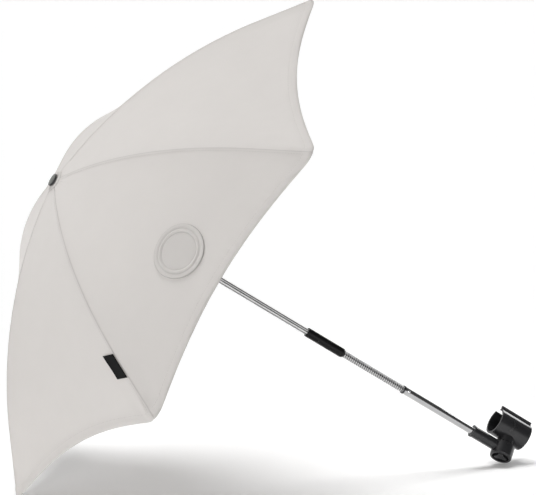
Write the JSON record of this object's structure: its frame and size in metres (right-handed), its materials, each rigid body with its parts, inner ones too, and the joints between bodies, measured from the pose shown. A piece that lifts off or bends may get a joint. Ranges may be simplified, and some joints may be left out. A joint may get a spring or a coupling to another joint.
{
  "type": "pram parasol",
  "caption": "Pram parasol with a folding fabric canopy, a ribbed flexible neck, a swivelling arm and a clip clamp for a round frame tube.",
  "frame": {"origin": "centre of the clamp's bore, midway along it", "axes": "+Z along the mast to the canopy, beside the gripped frame tube; +Y out through the clamp's opening; -Y towards the tension knob"},
  "size_m": [0.724, 0.627, 0.7316],
  "materials": {
    "black_plastic": "fine moulded satin",
    "dark_plastic": "moulded",
    "cap_plastic": "satin",
    "neck_metal": "ribbed, bright",
    "chrome_tube": "drawn, bright",
    "bright_steel": "polished",
    "steel": "plated",
    "brass": "turned",
    "canopy_cloth": "plain weave",
    "label_cloth": "satin tape"
  },
  "bodies": {
    "clamp": {"clamp_clip": "black_plastic", "pivot_stud": "steel"},
    "knob": {"tension_knob": "black_plastic", "knob_insert": "brass"},
    "arm": {"swivel_arm": "black_plastic", "spring_washer": "steel", "lower_tube": "chrome_tube", "tube_collar": "neck_metal", "button_spring": "steel", "hose_1": "neck_metal"},
    "button": {"snap_button": "bright_steel"},
    "neck_low": {"hose_2": "neck_metal"},
    "neck_mid": {"hose_3": "neck_metal"},
    "neck_high": {"hose_4": "neck_metal"},
    "mast": {"hose_5": "neck_metal", "grip_sleeve": "black_plastic", "upper_shaft": "chrome_tube", "crown_hub": "dark_plastic", "crown_wire": "steel", "top_cap": "cap_plastic", "crown_rosette": "canopy_cloth", "stop_pin": "steel"},
    "runner": {"runner": "dark_plastic", "runner_wire": "steel", "detent_spring": "steel"},
    "rib_1": {"rib_1": "steel", "rib_tip_1": "dark_plastic", "joiner_rivet_1": "bright_steel", "panel_1": "canopy_cloth"},
    "stretcher_1": {"stretcher_1": "steel"},
    "rib_2": {"rib_2": "steel", "rib_tip_2": "dark_plastic", "joiner_rivet_2": "bright_steel", "panel_2": "canopy_cloth"},
    "stretcher_2": {"stretcher_2": "steel"},
    "rib_3": {"rib_3": "steel", "rib_tip_3": "dark_plastic", "joiner_rivet_3": "bright_steel", "panel_3": "canopy_cloth"},
    "stretcher_3": {"stretcher_3": "steel"},
    "rib_4": {"rib_4": "steel", "rib_tip_4": "dark_plastic", "joiner_rivet_4": "bright_steel", "panel_4": "canopy_cloth"},
    "stretcher_4": {"stretcher_4": "steel"},
    "rib_5": {"rib_5": "steel", "rib_tip_5": "dark_plastic", "joiner_rivet_5": "bright_steel", "panel_5": "canopy_cloth"},
    "stretcher_5": {"stretcher_5": "steel"},
    "rib_6": {"rib_6": "steel", "rib_tip_6": "dark_plastic", "joiner_rivet_6": "bright_steel", "panel_6": "canopy_cloth", "label_tab": "label_cloth"},
    "stretcher_6": {"stretcher_6": "steel"}
  },
  "joints": [
    {"name": "knob_turn", "type": "hinge", "parent": "clamp", "child": "knob", "pos_m": [0, -0.0395, 0], "axis": [0, -1, 0], "continuous": true},
    {"name": "arm_swivel", "type": "hinge", "parent": "clamp", "child": "arm", "pos_m": [0, -0.031, 0], "axis": [0, 1, 0], "range_deg": [-120, 120]},
    {"name": "button_press", "type": "slide", "parent": "arm", "child": "button", "axis": [-0.9848, 0.1736, 0], "range_m": [0, 0.002], "stiffness_N_per_m": 1500, "springref_m": -0.001, "deforming": ["button_spring"]},
    {"name": "neck_tilt", "type": "hinge", "parent": "arm", "child": "neck_low", "pos_m": [0, -0.031, 0.17531], "axis": [1, 0, 0], "range_deg": [-22.5, 22.5], "deforming": ["hose_1", "hose_2"]},
    {"name": "neck_swing", "type": "hinge", "parent": "neck_low", "child": "neck_mid", "pos_m": [0, -0.031, 0.19894], "axis": [0, 1, 0], "range_deg": [-22.5, 22.5]},
    {"name": "neck_tilt_upper", "type": "hinge", "parent": "neck_mid", "child": "neck_high", "pos_m": [0, -0.031, 0.22256], "axis": [1, 0, 0], "range_deg": [-22.5, 22.5], "deforming": ["hose_3"]},
    {"name": "neck_swing_upper", "type": "hinge", "parent": "neck_high", "child": "mast", "pos_m": [0, -0.031, 0.24619], "axis": [0, 1, 0], "range_deg": [-22.5, 22.5], "deforming": ["hose_4", "hose_5"]},
    {"name": "runner_slide", "type": "slide", "parent": "mast", "child": "runner", "axis": [0, 0, -1], "range_m": [0, 0.2197], "deforming": ["detent_spring"]},
    {"name": "rib_fold_1", "type": "hinge", "parent": "mast", "child": "rib_1", "pos_m": [0.009, -0.031, 0.69701], "axis": [0, 1, 0], "range_deg": [0, 62.8], "deforming": ["panel_1"]},
    {"name": "stretcher_fold_1", "type": "hinge", "parent": "rib_1", "child": "stretcher_1", "pos_m": [0.154, -0.031, 0.66192], "axis": [0, 1, 0], "range_deg": [-125.6, 0]},
    {"name": "rib_fold_2", "type": "hinge", "parent": "mast", "child": "rib_2", "pos_m": [0.0045, -0.02321, 0.69701], "axis": [-0.866, 0.5, 0], "range_deg": [0, 62.8], "deforming": ["panel_2"]},
    {"name": "stretcher_fold_2", "type": "hinge", "parent": "rib_2", "child": "stretcher_2", "pos_m": [0.077, 0.10237, 0.66192], "axis": [-0.866, 0.5, 0], "range_deg": [-125.6, 0]},
    {"name": "rib_fold_3", "type": "hinge", "parent": "mast", "child": "rib_3", "pos_m": [-0.0045, -0.02321, 0.69701], "axis": [-0.866, -0.5, 0], "range_deg": [0, 62.8], "deforming": ["panel_3"]},
    {"name": "stretcher_fold_3", "type": "hinge", "parent": "rib_3", "child": "stretcher_3", "pos_m": [-0.077, 0.10237, 0.66192], "axis": [-0.866, -0.5, 0], "range_deg": [-125.6, 0]},
    {"name": "rib_fold_4", "type": "hinge", "parent": "mast", "child": "rib_4", "pos_m": [-0.009, -0.031, 0.69701], "axis": [0, -1, 0], "range_deg": [0, 62.8], "deforming": ["panel_4"]},
    {"name": "stretcher_fold_4", "type": "hinge", "parent": "rib_4", "child": "stretcher_4", "pos_m": [-0.154, -0.031, 0.66192], "axis": [0, -1, 0], "range_deg": [-125.6, 0]},
    {"name": "rib_fold_5", "type": "hinge", "parent": "mast", "child": "rib_5", "pos_m": [-0.0045, -0.03879, 0.69701], "axis": [0.866, -0.5, 0], "range_deg": [0, 62.8], "deforming": ["panel_5"]},
    {"name": "stretcher_fold_5", "type": "hinge", "parent": "rib_5", "child": "stretcher_5", "pos_m": [-0.077, -0.16437, 0.66192], "axis": [0.866, -0.5, 0], "range_deg": [-125.6, 0]},
    {"name": "rib_fold_6", "type": "hinge", "parent": "mast", "child": "rib_6", "pos_m": [0.0045, -0.03879, 0.69701], "axis": [0.866, 0.5, 0], "range_deg": [0, 62.8], "deforming": ["panel_6", "label_tab"]},
    {"name": "stretcher_fold_6", "type": "hinge", "parent": "rib_6", "child": "stretcher_6", "pos_m": [0.077, -0.16437, 0.66192], "axis": [0.866, 0.5, 0], "range_deg": [-125.6, 0]}
  ],
  "couplings": [
    {"joint": "neck_tilt_upper", "follows": "neck_tilt", "ratio": 1},
    {"joint": "neck_swing_upper", "follows": "neck_swing", "ratio": 1},
    {"joint": "rib_fold_1", "follows": "runner_slide", "rad_per_m": 4.981},
    {"joint": "stretcher_fold_1", "follows": "runner_slide", "rad_per_m": -9.962},
    {"joint": "rib_fold_2", "follows": "runner_slide", "rad_per_m": 4.981},
    {"joint": "stretcher_fold_2", "follows": "runner_slide", "rad_per_m": -9.962},
    {"joint": "rib_fold_3", "follows": "runner_slide", "rad_per_m": 4.981},
    {"joint": "stretcher_fold_3", "follows": "runner_slide", "rad_per_m": -9.962},
    {"joint": "rib_fold_4", "follows": "runner_slide", "rad_per_m": 4.981},
    {"joint": "stretcher_fold_4", "follows": "runner_slide", "rad_per_m": -9.962},
    {"joint": "rib_fold_5", "follows": "runner_slide", "rad_per_m": 4.981},
    {"joint": "stretcher_fold_5", "follows": "runner_slide", "rad_per_m": -9.962},
    {"joint": "rib_fold_6", "follows": "runner_slide", "rad_per_m": 4.981},
    {"joint": "stretcher_fold_6", "follows": "runner_slide", "rad_per_m": -9.962}
  ]
}
